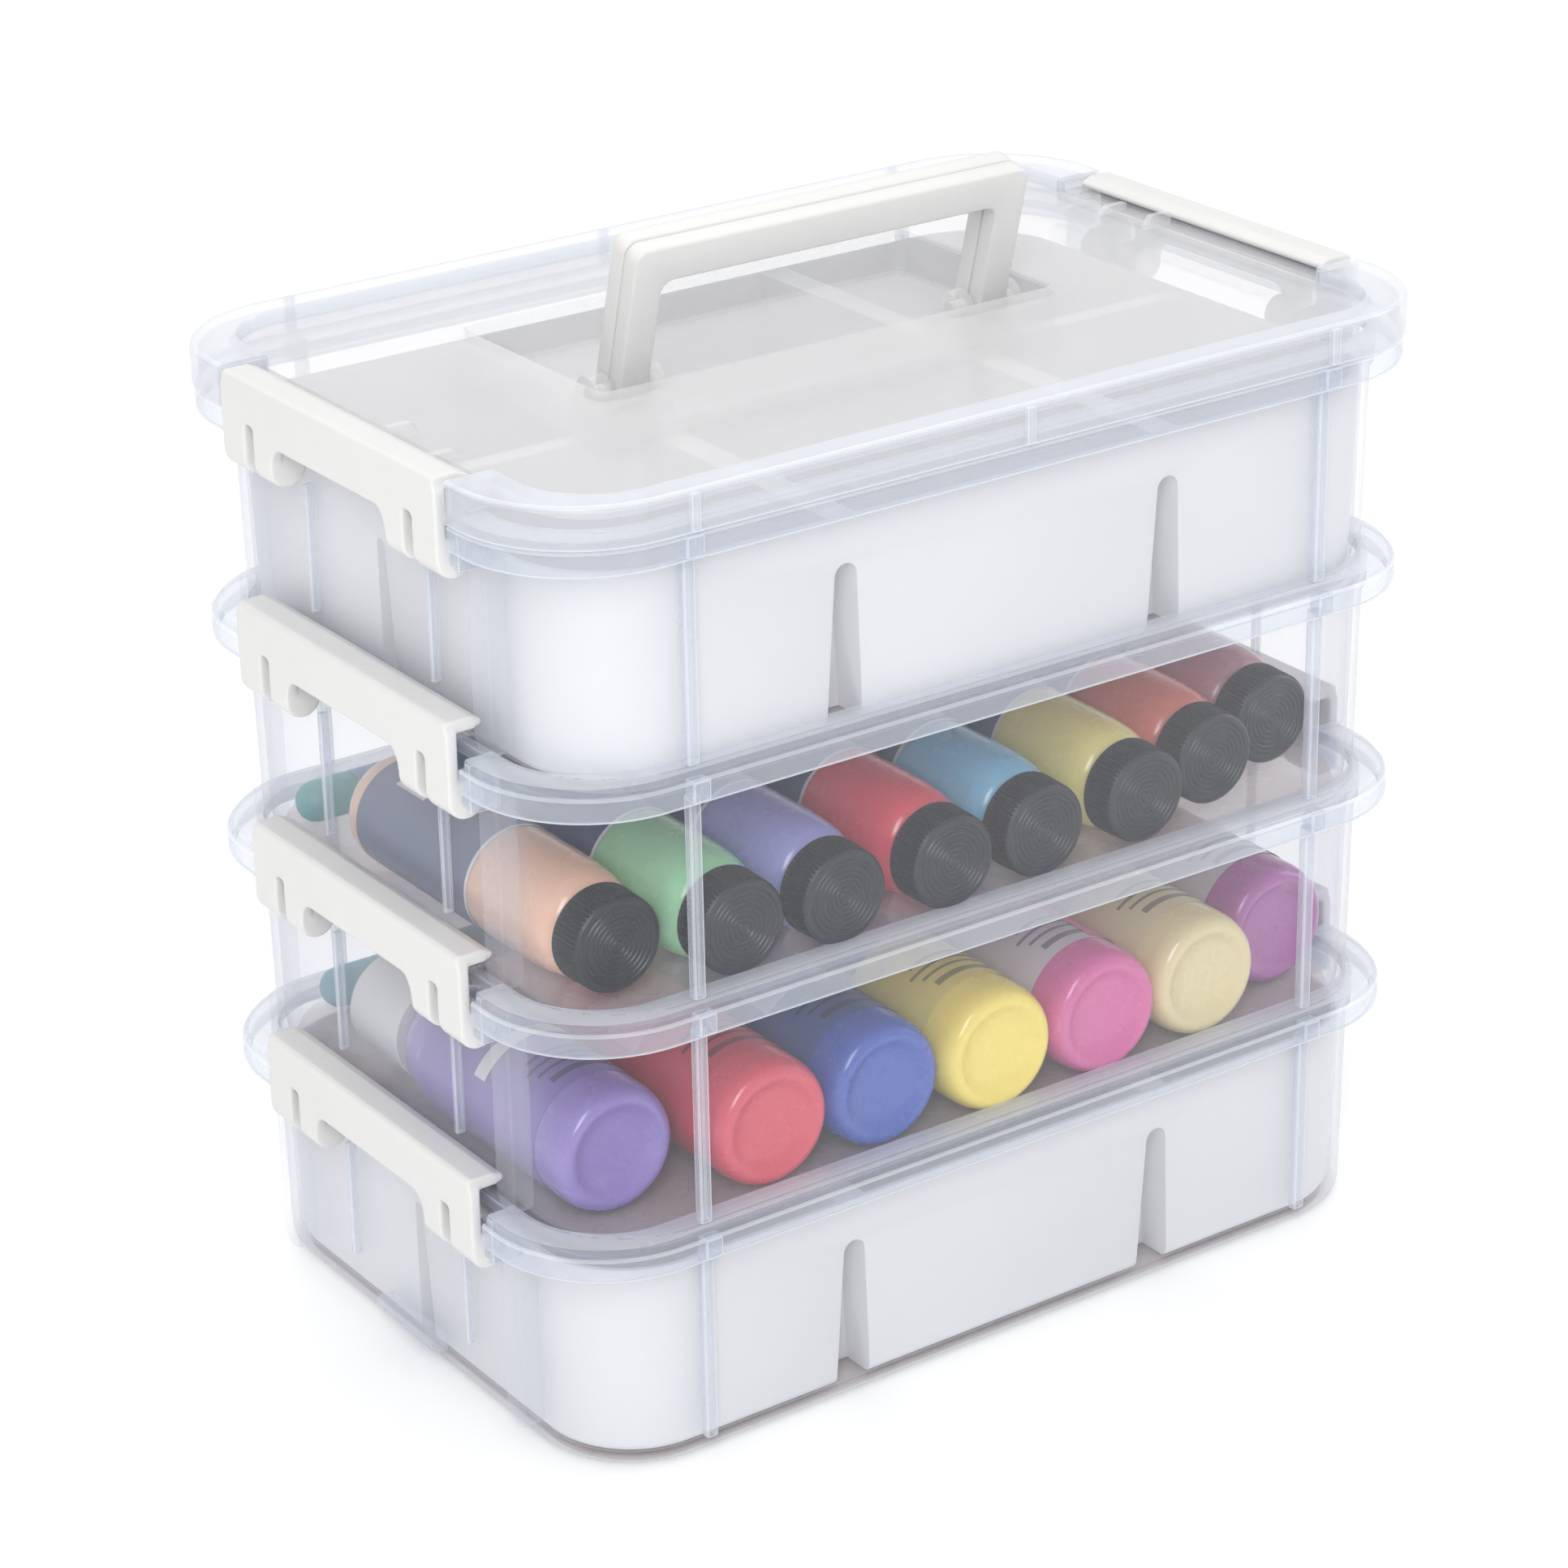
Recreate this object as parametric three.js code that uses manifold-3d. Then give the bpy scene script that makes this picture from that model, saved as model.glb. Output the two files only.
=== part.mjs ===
// Stack-and-carry art supply box: four nesting clear trays, a clear lid with a folding two-piece
// handle, eight snap latches, two compartment organisers, and paint bottles and markers inside.
// Millimetres, +Z up, the table at z = 0, the long side along X, the front at -Y.
import * as THREE from 'three';
import { mergeVertices } from 'three/addons/utils/BufferGeometryUtils.js';
import Module from 'manifold-3d';

const wasm = await Module();
wasm.setup();

// ---------------------------------------------------------------- driving dimensions

const TRAY_HEIGHT = 60;
const TRAY_PITCH = 55;
const TRAY_COUNT = 4;
const GAP = 0.3;
const NEST = TRAY_HEIGHT - TRAY_PITCH;
const STACK_TOP = TRAY_PITCH * (TRAY_COUNT - 1) + TRAY_HEIGHT;

const WALL = 1.9;
const FLOOR = 2;
const BODY_TOP = { x: 117, y: 80, r: 27 };
const BODY_FOOT = { x: 115.8, y: 79, r: 25.5 };
const FOOT_ROUND = 4;
const RIM = { x: 125.3, y: 83.5, r: 30 };
const RIM_HEIGHT = 7.7;
const RIM_SHELL = 1.8;
const RIM_STEP = { down: 1.9, in: 1.5 };
const COLLAR = 0.8;
const POCKET = { x: 116.2, y: 79.4, r: 26 };
const POCKET_DEPTH = 5.7;

const END_OPEN = 48;
const END_FLANGE_X = 119;
const POST = { in: 46.8, out: 55.6, x: 120.4 };
const SIDE_RIB_X = 87.2;
const END_RIB = { y: 26, out: 0.9, low: 14 };
const LUG = { half: 12.5, x: 119.5, low: NEST + 0.4, high: NEST + 4.6 };

const LID_TOP = STACK_TOP + 8;
const LID = { x: 125.8, y: 84, r: 30.5 };
const LID_SKIRT = LID_TOP - STACK_TOP + RIM_STEP.down - GAP;
const LID_SHELL = 1.7;
const PANEL_TOP = STACK_TOP + 4.5;
const PANEL = 2;
const BAND_INNER = { x: 113, y: 76, r: 18 };
const PLUG = { x: 114.2, y: 77.2, r: 24.4, low: STACK_TOP - 4 };
const RECESS = { x: 63, yMin: -12, yMax: 48, floor: STACK_TOP - 6 };

const HANDLE_AXIS = STACK_TOP - 0.4;
const HANDLE = { half: 54.3, leg: 8, height: 38, depth: 10, grip: 9 };
const HANDLE_LEAN = 15;
const HANDLE_PIN = 2;

const LATCH_AXIS = { x: 122.2, drop: 10.5 };
const LATCH = { half: 46, outer: 4.5, thick: 2.8, bore: 2.1, lipLow: 15.4, top: 18.5, reach: 5 };
const LATCH_FOOT = { in: 24.4, slot: 34, arch: 5.8 };
const LATCH_ROD = 1.6;

const ORGANISER = { x: 113, y: 76.2, r: 23, xTop: 114.3, yTop: 77.4, height: 48 };
const COLUMN_X = 44.5;
const DIVIDER = { columnLow: 6.4, columnHigh: 3.7, rowLow: 4.8, rowHigh: 2.6 };
const SKIN = 1.6;

// ---------------------------------------------------------------- geometry helpers

function roundedRect(x, y, r, steps = 4) {
  const points = [];
  const corners = [[1, 1, 0], [-1, 1, 90], [-1, -1, 180], [1, -1, 270]];
  for (const [sx, sy, start] of corners) {
    for (let i = 0; i <= steps; i++) {
      const a = THREE.MathUtils.degToRad(start + (90 * i) / steps);
      points.push([sx * (x - r) + r * Math.cos(a), sy * (y - r) + r * Math.sin(a)]);
    }
  }
  return points;
}

// a closed solid through rings of equal count, each given with its height
function loft(levels) {
  const n = levels[0].ring.length;
  const positions = [];
  for (const { z, ring } of levels) {
    for (const [x, y] of ring) positions.push(x, y, z);
  }
  const index = [];
  for (let k = 0; k + 1 < levels.length; k++) {
    for (let i = 0; i < n; i++) {
      const j = (i + 1) % n;
      const a = k * n + i;
      const b = k * n + j;
      index.push(a, b, b + n, a, b + n, a + n);
    }
  }
  const top = (levels.length - 1) * n;
  for (let i = 1; i + 1 < n; i++) {
    index.push(0, i + 1, i);
    index.push(top, top + i, top + i + 1);
  }
  const geometry = new THREE.BufferGeometry();
  geometry.setAttribute('position', new THREE.Float32BufferAttribute(positions, 3));
  geometry.setIndex(index);
  return geometry;
}

// a rounded-rectangle solid; each level is [z, half x, half y, corner radius]
function roundedSolid(levels, steps = 4) {
  return solid(loft(levels.map(([z, x, y, r]) => ({ z, ring: roundedRect(x, y, r, steps) }))));
}

function solid(geometry) {
  const bare = new THREE.BufferGeometry();
  bare.setAttribute('position', geometry.getAttribute('position').clone());
  if (geometry.index) bare.setIndex(geometry.index.clone());
  const merged = mergeVertices(bare, 1e-4);
  const corners = [];
  for (let i = 0; i < merged.index.count; i += 3) {
    const [a, b, c] = [0, 1, 2].map((k) => merged.index.getX(i + k));
    if (a !== b && b !== c && c !== a) corners.push(a, b, c);
  }
  const mesh = new wasm.Mesh({
    numProp: 3,
    vertProperties: new Float32Array(merged.getAttribute('position').array),
    triVerts: new Uint32Array(corners),
  });
  return new wasm.Manifold(mesh);
}

function box(x0, x1, y0, y1, z0, z1) {
  const geometry = new THREE.BoxGeometry(Math.abs(x1 - x0), Math.abs(y1 - y0), z1 - z0);
  geometry.translate((x0 + x1) / 2, (y0 + y1) / 2, (z0 + z1) / 2);
  return solid(geometry);
}

// a round bar along x or y, from a to b, centred on the other two coordinates
function bar(axis, radius, a, b, u, z, sides = 10) {
  const geometry = new THREE.CylinderGeometry(radius, radius, b - a, sides);
  geometry.rotateY(Math.PI / sides);
  const middle = (a + b) / 2;
  if (axis === 'x') {
    geometry.rotateZ(Math.PI / 2);
    geometry.translate(middle, u, z);
  } else {
    geometry.translate(u, middle, z);
  }
  return solid(geometry);
}

// an outline of [u, z] points drawn in the XZ plane, carried along Y from y0 to y1
function profileAlongY(points, y0, y1) {
  const shape = new THREE.Shape(points.map(([x, z]) => new THREE.Vector2(x, z)));
  const geometry = new THREE.ExtrudeGeometry(shape, { depth: y1 - y0, bevelEnabled: false });
  geometry.rotateX(Math.PI / 2);
  geometry.translate(0, y1, 0);
  return solid(geometry);
}

// an outline of [y, z] points drawn in the YZ plane, carried along X from x0 to x1
function profileAlongX(points, x0, x1) {
  const shape = new THREE.Shape(points.map(([y, z]) => new THREE.Vector2(y, z)));
  const geometry = new THREE.ExtrudeGeometry(shape, { depth: x1 - x0, bevelEnabled: false });
  geometry.rotateX(Math.PI / 2);
  geometry.rotateZ(Math.PI / 2);
  geometry.translate(x0, 0, 0);
  return solid(geometry);
}

function lathe(points, sides) {
  const profile = points.map(([r, h]) => new THREE.Vector2(r, h));
  return solid(new THREE.LatheGeometry(profile, sides));
}

function join(...parts) {
  return parts.reduce((a, b) => a.add(b));
}

function cut(whole, ...tools) {
  return tools.reduce((a, b) => a.subtract(b), whole);
}

function bothSides(make) {
  return [make(1), make(-1)];
}

function span(side, a, b) {
  return side > 0 ? [a, b] : [-b, -a];
}

function fourCorners(make) {
  return [make(1, 1), make(1, -1), make(-1, 1), make(-1, -1)];
}

const group = new THREE.Group();

function addNode(name, body, look, place = () => {}) {
  const mesh = body.getMesh();
  const geometry = new THREE.BufferGeometry();
  geometry.setAttribute('position', new THREE.Float32BufferAttribute(mesh.vertProperties, 3));
  geometry.setIndex(new THREE.Uint32BufferAttribute(mesh.triVerts, 1));
  place(geometry);
  const flat = geometry.toNonIndexed();
  flat.computeVertexNormals();
  const node = new THREE.Mesh(flat, new THREE.MeshStandardMaterial(look));
  node.name = name;
  group.add(node);
}

// ---------------------------------------------------------------- looks

const CLEAR = { color: '#dde2ee', roughness: 0.2, metalness: 0 };
const WHITE = { color: '#e9e8e4', roughness: 0.45, metalness: 0 };
const INSERT = { color: '#e6e8ec', roughness: 0.5, metalness: 0 };
const CAP = { color: '#2b323c', roughness: 0.45, metalness: 0 };

function paint(color) {
  return { color, roughness: 0.35, metalness: 0 };
}

// ---------------------------------------------------------------- trays

function trayShell() {
  const f = BODY_FOOT;
  const t = BODY_TOP;
  const rimLow = TRAY_HEIGHT - RIM_HEIGHT;
  const body = roundedSolid([
    [0, f.x - FOOT_ROUND, f.y - FOOT_ROUND, f.r - FOOT_ROUND],
    [1.2, f.x - 1.3, f.y - 1.3, f.r - 1.3],
    [FOOT_ROUND, f.x, f.y, f.r],
    [TRAY_HEIGHT - 1, t.x, t.y, t.r],
  ]);
  const step = RIM_STEP;
  const rim = join(
    roundedSolid([
      [rimLow, RIM.x - 0.3, RIM.y - 0.3, RIM.r - 0.3],
      [TRAY_HEIGHT - step.down - 0.4, RIM.x, RIM.y, RIM.r],
      [TRAY_HEIGHT - step.down, RIM.x - 0.4, RIM.y - 0.4, RIM.r - 0.4],
    ]),
    roundedSolid([
      [TRAY_HEIGHT - step.down - 0.5, RIM.x - step.in, RIM.y - step.in, RIM.r - step.in],
      [TRAY_HEIGHT - 0.5, RIM.x - step.in, RIM.y - step.in, RIM.r - step.in],
      [TRAY_HEIGHT, RIM.x - step.in - 0.5, RIM.y - step.in - 0.5, RIM.r - step.in - 0.5],
    ]),
  );
  const underTop = TRAY_HEIGHT - step.down - RIM_SHELL + 0.4;
  const underRim = roundedSolid([
    [rimLow - 1, RIM.x - RIM_SHELL, RIM.y - RIM_SHELL, RIM.r - RIM_SHELL],
    [underTop, RIM.x - RIM_SHELL, RIM.y - RIM_SHELL, RIM.r - RIM_SHELL],
  ]);
  const collar = roundedSolid([
    [rimLow - 0.8, t.x - 0.3, t.y - 0.3, t.r - 0.3],
    [rimLow + 0.6, t.x + COLLAR, t.y + COLLAR, t.r + COLLAR],
    [TRAY_HEIGHT - 1, t.x + COLLAR, t.y + COLLAR, t.r + COLLAR],
  ]);
  const endNotches = bothSides((s) => join(
    box(s * END_FLANGE_X, s * 130, -END_OPEN, END_OPEN, rimLow - 1, TRAY_HEIGHT + 1),
    box(s * t.x, s * 130, -END_OPEN, END_OPEN, rimLow - 1, TRAY_HEIGHT - 3),
  ));
  let shell = join(cut(join(cut(rim, underRim), collar), ...endNotches), body);
  const rodZ = TRAY_HEIGHT - LATCH_AXIS.drop;
  const corners = fourCorners((sx, sy) => {
    const web = box(
      sx * (t.x - 1), sx * (RIM.x - step.in), sy * END_OPEN, sy * (END_OPEN + 1.8),
      rodZ - 1.8, TRAY_HEIGHT - 0.9,
    );
    const rod = bar(
      'y', LATCH_ROD, ...span(sy, LATCH_FOOT.in + 0.6, END_OPEN + 1), sx * LATCH_AXIS.x, rodZ, 6,
    );
    const bracket = box(
      sx * (t.x - 1), sx * LATCH_AXIS.x, sy * (LATCH_FOOT.slot - 0.8),
      sy * (LATCH_FOOT.slot + 0.8), rodZ - 1.2, rodZ + 1.2,
    );
    const post = box(
      sx * (t.x - 2.5), sx * POST.x, sy * POST.in, sy * POST.out, NEST + GAP, rimLow + 1,
    );
    const sideRib = box(
      sx * (SIDE_RIB_X - 1.5), sx * (SIDE_RIB_X + 1.5), sy * (t.y - 2.2), sy * (t.y + 1.2),
      NEST + GAP, rimLow + 1,
    );
    const rimBlock = box(
      sx * (SIDE_RIB_X - 2.3), sx * (SIDE_RIB_X + 2.3), sy * t.y, sy * (RIM.y + 0.6),
      rimLow + 0.6, TRAY_HEIGHT - step.down - 0.2,
    );
    const endRib = box(
      sx * (t.x - 2.2), sx * (t.x + END_RIB.out), sy * (END_RIB.y - 0.7), sy * (END_RIB.y + 0.7),
      END_RIB.low, rodZ - 5.1,
    );
    return join(web, rod, bracket, post, sideRib, rimBlock, endRib);
  });
  const lugs = bothSides((s) => profileAlongY(
    [
      [s * (f.x - 1), LUG.low],
      [s * (LUG.x - 2), LUG.low],
      [s * LUG.x, LUG.low + 1.6],
      [s * LUG.x, LUG.high],
      [s * (f.x - 1), LUG.high],
    ],
    -LUG.half,
    LUG.half,
  ));
  shell = join(shell, ...corners, ...lugs);
  const cavity = roundedSolid([
    [FLOOR, f.x - WALL - 3, f.y - WALL - 3, f.r - WALL - 3],
    [FLOOR + 3, f.x - WALL, f.y - WALL, f.r - WALL],
    [TRAY_HEIGHT + 1, t.x - WALL, t.y - WALL, t.r - WALL],
  ]);
  const pocket = roundedSolid([
    [TRAY_HEIGHT - POCKET_DEPTH, POCKET.x, POCKET.y, POCKET.r],
    [TRAY_HEIGHT + 1, POCKET.x, POCKET.y, POCKET.r],
  ]);
  return cut(shell, cavity, pocket);
}

const tray = trayShell();
for (let n = 1; n <= TRAY_COUNT; n++) {
  const lift = TRAY_PITCH * (TRAY_COUNT - n);
  addNode(`tray_${n}`, tray, CLEAR, (g) => g.translate(0, 0, lift));
}

// ---------------------------------------------------------------- lid

function lidShell() {
  const low = LID_TOP - LID_SKIRT;
  const bandLow = LID_TOP - PANEL;
  const b = BAND_INNER;
  const skirt = roundedSolid([
    [low, LID.x, LID.y, LID.r],
    [LID_TOP - 1.2, LID.x, LID.y, LID.r],
    [LID_TOP, LID.x - 1.1, LID.y - 1.1, LID.r - 1.1],
  ]);
  const skirtInside = roundedSolid([
    [low - 1, LID.x - LID_SHELL, LID.y - LID_SHELL, LID.r - LID_SHELL],
    [bandLow, LID.x - LID_SHELL, LID.y - LID_SHELL, LID.r - LID_SHELL],
  ]);
  const innerWall = roundedSolid([
    [PANEL_TOP - PANEL, b.x + SKIN, b.y + SKIN, b.r + SKIN],
    [bandLow + 0.5, b.x + SKIN, b.y + SKIN, b.r + SKIN],
  ]);
  const opening = roundedSolid([
    [PANEL_TOP - PANEL - 1, b.x, b.y, b.r],
    [LID_TOP + 1, b.x, b.y, b.r],
  ]);
  const plug = cut(
    roundedSolid([
      [PLUG.low, PLUG.x - 0.6, PLUG.y - 0.6, PLUG.r - 0.6],
      [PLUG.low + 1, PLUG.x, PLUG.y, PLUG.r],
      [PANEL_TOP - 0.5, PLUG.x, PLUG.y, PLUG.r],
    ]),
    roundedSolid([
      [PLUG.low - 1, PLUG.x - SKIN, PLUG.y - SKIN, PLUG.r - SKIN],
      [PANEL_TOP, PLUG.x - SKIN, PLUG.y - SKIN, PLUG.r - SKIN],
    ]),
  );
  const endCuts = bothSides((s) => join(
    box(s * 121, s * 130, -END_OPEN, END_OPEN, low - 1, LID_TOP + 1),
    box(s * (b.x - 1), s * 130, -END_OPEN, END_OPEN, PANEL_TOP, LID_TOP + 1),
  ));
  const frame = cut(join(cut(skirt, skirtInside), innerWall), opening, ...endCuts);
  const panel = roundedSolid([
    [PANEL_TOP - PANEL, b.x + 0.8, b.y + 0.8, b.r + 0.8],
    [PANEL_TOP, b.x + 0.8, b.y + 0.8, b.r + 0.8],
  ]);
  const ends = bothSides((s) => join(
    box(s * (b.x - 4), s * 121, -END_OPEN - 0.5, END_OPEN + 0.5, PANEL_TOP - PANEL, PANEL_TOP),
    box(s * 119.3, s * 121, -END_OPEN - 0.5, END_OPEN + 0.5, STACK_TOP + GAP, PANEL_TOP),
  ));
  const webs = fourCorners((sx, sy) => join(
    box(
      sx * b.x, sx * (LID.x - 0.8), sy * END_OPEN, sy * (END_OPEN + SKIN),
      STACK_TOP + GAP, LID_TOP - 0.8,
    ),
    box(
      sx * (SIDE_RIB_X - 1), sx * (SIDE_RIB_X + 1), sy * (b.y + 0.5), sy * (LID.y - 0.5),
      STACK_TOP + GAP + 1, bandLow + 0.5,
    ),
    box(
      sx * (SIDE_RIB_X - 1.2), sx * (SIDE_RIB_X + 1.2), sy * (LID.y - 1), sy * (LID.y + 0.7),
      low + 0.3, LID_TOP - 0.8,
    ),
  ));
  const middles = bothSides((s) => join(
    box(-1, 1, s * (b.y + 0.5), s * (LID.y - 0.5), STACK_TOP + GAP + 1, bandLow + 0.5),
    box(-1.2, 1.2, s * (LID.y - 1), s * (LID.y + 0.7), low + 0.3, LID_TOP - 0.8),
  ));
  const gussets = bothSides((s) => join(...[[10, 3], [27, 1.4]].map(([y, rise]) => profileAlongY(
    [
      [s * 116.4, PANEL_TOP - 0.5],
      [s * 116.4, PANEL_TOP + rise],
      [s * 110.5, PANEL_TOP + rise],
      [s * 108.5, PANEL_TOP],
      [s * 108.5, PANEL_TOP - 0.5],
    ],
    s * y - 1,
    s * y + 1,
  ))));
  return join(frame, panel, plug, ...ends, ...webs, ...middles, ...gussets);
}

function lidWithRecess() {
  const r = RECESS;
  const middle = (r.yMin + r.yMax) / 2;
  const half = (r.yMax - r.yMin) / 2;
  const at = (levels) => roundedSolid(levels, 2).translate([0, middle, 0]);
  const pan = at([
    [r.floor - PANEL, r.x + SKIN, half + SKIN, 4.6],
    [PANEL_TOP, r.x + SKIN, half + SKIN, 4.6],
  ]);
  const hollow = at([
    [r.floor, r.x - 0.6, half - 0.6, 3],
    [PANEL_TOP + 1, r.x, half, 3],
  ]);
  const cheeks = [];
  for (const s of [1, -1]) {
    for (const [near, far] of [[41, 45.6], [55.1, 59.6]]) {
      const cheek = join(
        box(s * near, s * far, -7, 7, r.floor - 0.5, HANDLE_AXIS - 1.5),
        box(s * near, s * far, -4.6, 4.6, r.floor - 0.5, HANDLE_AXIS),
        bar('x', 4.6, ...span(s, near, far), 0, HANDLE_AXIS, 10),
      );
      cheeks.push(cheek);
    }
  }
  const bores = bothSides((s) => bar('x', HANDLE_PIN + 0.5, ...span(s, 40, 61), 0, HANDLE_AXIS, 10));
  const base = cut(join(lidShell(), pan), hollow);
  return join(base, cut(join(...cheeks), ...bores));
}

addNode('lid', lidWithRecess(), CLEAR);

// ---------------------------------------------------------------- handle

function handleBlank() {
  const { half, leg, height, depth, grip } = HANDLE;
  const outline = new THREE.Shape();
  const c = 3.5;
  outline.moveTo(-half, 0);
  outline.lineTo(-half + leg, 0);
  outline.lineTo(-half + leg, height - grip - c);
  outline.lineTo(-half + leg + c, height - grip);
  outline.lineTo(half - leg - c, height - grip);
  outline.lineTo(half - leg, height - grip - c);
  outline.lineTo(half - leg, 0);
  outline.lineTo(half, 0);
  outline.lineTo(half, height - c);
  outline.lineTo(half - c * 0.3, height - c * 0.3);
  outline.lineTo(half - c, height);
  outline.lineTo(-half + c, height);
  outline.lineTo(-half + c * 0.3, height - c * 0.3);
  outline.lineTo(-half, height - c);
  outline.closePath();
  const geometry = new THREE.ExtrudeGeometry(outline, { depth, bevelEnabled: false });
  geometry.rotateX(Math.PI / 2);
  geometry.translate(0, depth / 2, 0);
  const feet = bothSides((s) => bar('x', depth / 2, ...span(s, half - leg, half), 0, 0, 12));
  const body = join(solid(geometry), ...feet);
  const edgeCuts = [-1, 1].map((s) => profileAlongX(
    [
      [s * (depth / 2 - 1.2), height + 1],
      [s * (depth / 2 - 1.2), height],
      [s * (depth / 2), height - 1.2],
      [s * (depth / 2 + 1), height - 1.2],
      [s * (depth / 2 + 1), height + 1],
    ],
    -half - 1,
    half + 1,
  ));
  return cut(body, ...edgeCuts);
}

function placeHandle(geometry) {
  geometry.rotateX(THREE.MathUtils.degToRad(HANDLE_LEAN));
  geometry.translate(0, 0, HANDLE_AXIS);
}

const handle = handleBlank();
const frontHalf = cut(handle, box(-60, 60, -0.15, 10, -10, 50));
const rearHalf = cut(handle, box(-60, 60, -10, 0.15, -10, 50));
const pins = bothSides((s) => bar('x', HANDLE_PIN, ...span(s, 41.6, 59), 0, 0, 10));
const pinRooms = bothSides((s) => bar('x', HANDLE_PIN + 0.3, ...span(s, 41, 60), 0, 0, 10));
addNode('handle_front_half', join(frontHalf, ...pins), WHITE, placeHandle);
addNode('handle_rear_half', cut(rearHalf, ...pinRooms), WHITE, placeHandle);

// ---------------------------------------------------------------- latches

// drawn about its own hinge axis, closed; side is -1 for the left end and 1 for the right
function latchBody(side) {
  const { half, outer, thick, bore, lipLow, top, reach } = LATCH;
  const s = -side;
  const foot = LATCH_FOOT;
  const plateOutline = [
    [-half, 0], [-half, top - 3], [-half + 2.5, top - 0.6], [half - 2.5, top - 0.6],
    [half, top - 3], [half, 0], [foot.in, 0], [foot.in - 1.2, foot.arch - 1.6],
    [foot.in - 3.6, foot.arch], [-foot.in + 3.6, foot.arch],
    [-foot.in + 1.2, foot.arch - 1.6], [-foot.in, 0],
  ];
  const plate = profileAlongX(plateOutline, ...span(side, outer - thick, outer));
  const lip = profileAlongY(
    [
      [-s * outer, lipLow], [s * 3, lipLow], [s * reach, lipLow + 1], [s * reach, lipLow + 1.8],
      [s * 2, top], [-s * (outer - 1), top], [-s * outer, top - 1],
    ],
    -half + 0.8,
    half - 0.8,
  );
  const knuckles = [1, -1].flatMap((sy) => [
    bar('y', outer, ...span(sy, foot.in, foot.slot - 2.1), 0, 0, 8),
    bar('y', outer, ...span(sy, foot.slot + 2.1, half), 0, 0, 8),
  ]);
  const bores = [1, -1].map((sy) => bar('y', bore, ...span(sy, foot.in - 1, half + 1), 0, 0, 8));
  const slots = [1, -1].map((sy) => join(
    box(side * 1, side * 6, sy * (foot.slot - 1.8), sy * (foot.slot + 1.8), -6, 7.6),
    box(side * 1, side * 6, sy * (foot.slot - 1.1), sy * (foot.slot + 1.1), 7.4, 8.7),
  ));
  return cut(join(plate, lip, ...knuckles), ...bores, ...slots);
}

for (let n = 1; n <= TRAY_COUNT; n++) {
  const z = TRAY_PITCH * (TRAY_COUNT - n) + TRAY_HEIGHT - LATCH_AXIS.drop;
  addNode(`latch_left_${n}`, latchBody(-1), WHITE, (g) => g.translate(-LATCH_AXIS.x, 0, z));
  addNode(`latch_right_${n}`, latchBody(1), WHITE, (g) => g.translate(LATCH_AXIS.x, 0, z));
}

// ---------------------------------------------------------------- organisers

function organiser() {
  const o = ORGANISER;
  const outside = roundedSolid([
    [0, o.x - 2.5, o.y - 2.5, o.r - 2.5],
    [2.5, o.x, o.y, o.r],
    [o.height, o.xTop, o.yTop, o.r + 1],
  ]);
  const hollow = roundedSolid([
    [SKIN, o.x - SKIN - 3, o.y - SKIN - 3, o.r - SKIN - 3],
    [SKIN + 3, o.x - SKIN, o.y - SKIN, o.r - SKIN],
    [o.height + 1, o.xTop - SKIN, o.yTop - SKIN, o.r + 1 - SKIN],
  ]);
  // the dividers are folds: a tapered wall with a wedge of air inside, open from below
  const fold = (low, high, z0, z1, crown) => [
    [-low, z0], [low, z0], [high, z1], [high * 0.4, z1 + crown], [-high * 0.4, z1 + crown],
    [-high, z1],
  ];
  const acrossX = (outline) => [-1, 1].map((s) => profileAlongY(
    outline.map(([x, z]) => [x + s * COLUMN_X, z]),
    -100,
    100,
  ));
  const top = o.height;
  const walls = join(
    ...acrossX(fold(DIVIDER.columnLow, DIVIDER.columnHigh, 0, top - 1, 1)),
    profileAlongX(fold(DIVIDER.rowLow, DIVIDER.rowHigh, 0, top - 1, 1), -120, 120),
  );
  const grooves = join(
    ...acrossX(fold(DIVIDER.columnLow - SKIN, DIVIDER.columnHigh - 0.8, -1, top - 10, 2)),
    profileAlongX(fold(DIVIDER.rowLow - SKIN, DIVIDER.rowHigh - 1, -1, top - 10, 1.4), -120, 120),
  );
  return cut(join(cut(outside, hollow), walls.intersect(outside)), grooves);
}

const insert = organiser();
addNode('organiser_bottom', insert, INSERT, (g) => g.translate(0, 0, FLOOR + GAP));
addNode('organiser_top', insert, INSERT, (g) => g.translate(0, 0, 3 * TRAY_PITCH + FLOOR + GAP));

// ---------------------------------------------------------------- paint bottles

const SMALL = { radius: 13.2, length: 92.5, cap: 11.6, capDepth: 9, capBore: 6.5 };
const LARGE = { radius: 15.5, length: 86, cap: 12.8, capDepth: 22, capBore: 11, pitch: 31.3 };
const CAP_GAP = 0.4;
const NECK = 0.56;

// the shoulder is drawn back from the mouth: where it starts, its middle and where the neck begins
function bottle({ radius, length }, shoulder) {
  const r = radius;
  const [start, middle, neck] = shoulder.map((back) => length - back);
  return lathe([
    [0, 0.8], [r * 0.5, 0.8], [r * 0.72, 0], [r * 0.93, 1.4], [r, 4.5], [r, start],
    [r * 0.9, middle], [r * NECK, neck], [r * NECK, length], [0, length],
  ], 10);
}

// a closed cup: open end at height 0, its bore over the bottle's neck
function cap({ radius, cap: outer, capDepth, capBore }) {
  const bore = radius * NECK + 0.6;
  return lathe([
    [0, capBore], [bore, capBore], [bore, 0], [outer, 0], [outer, capDepth - 1.4],
    [outer - 1.2, capDepth], [0, capDepth],
  ], 10);
}

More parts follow.
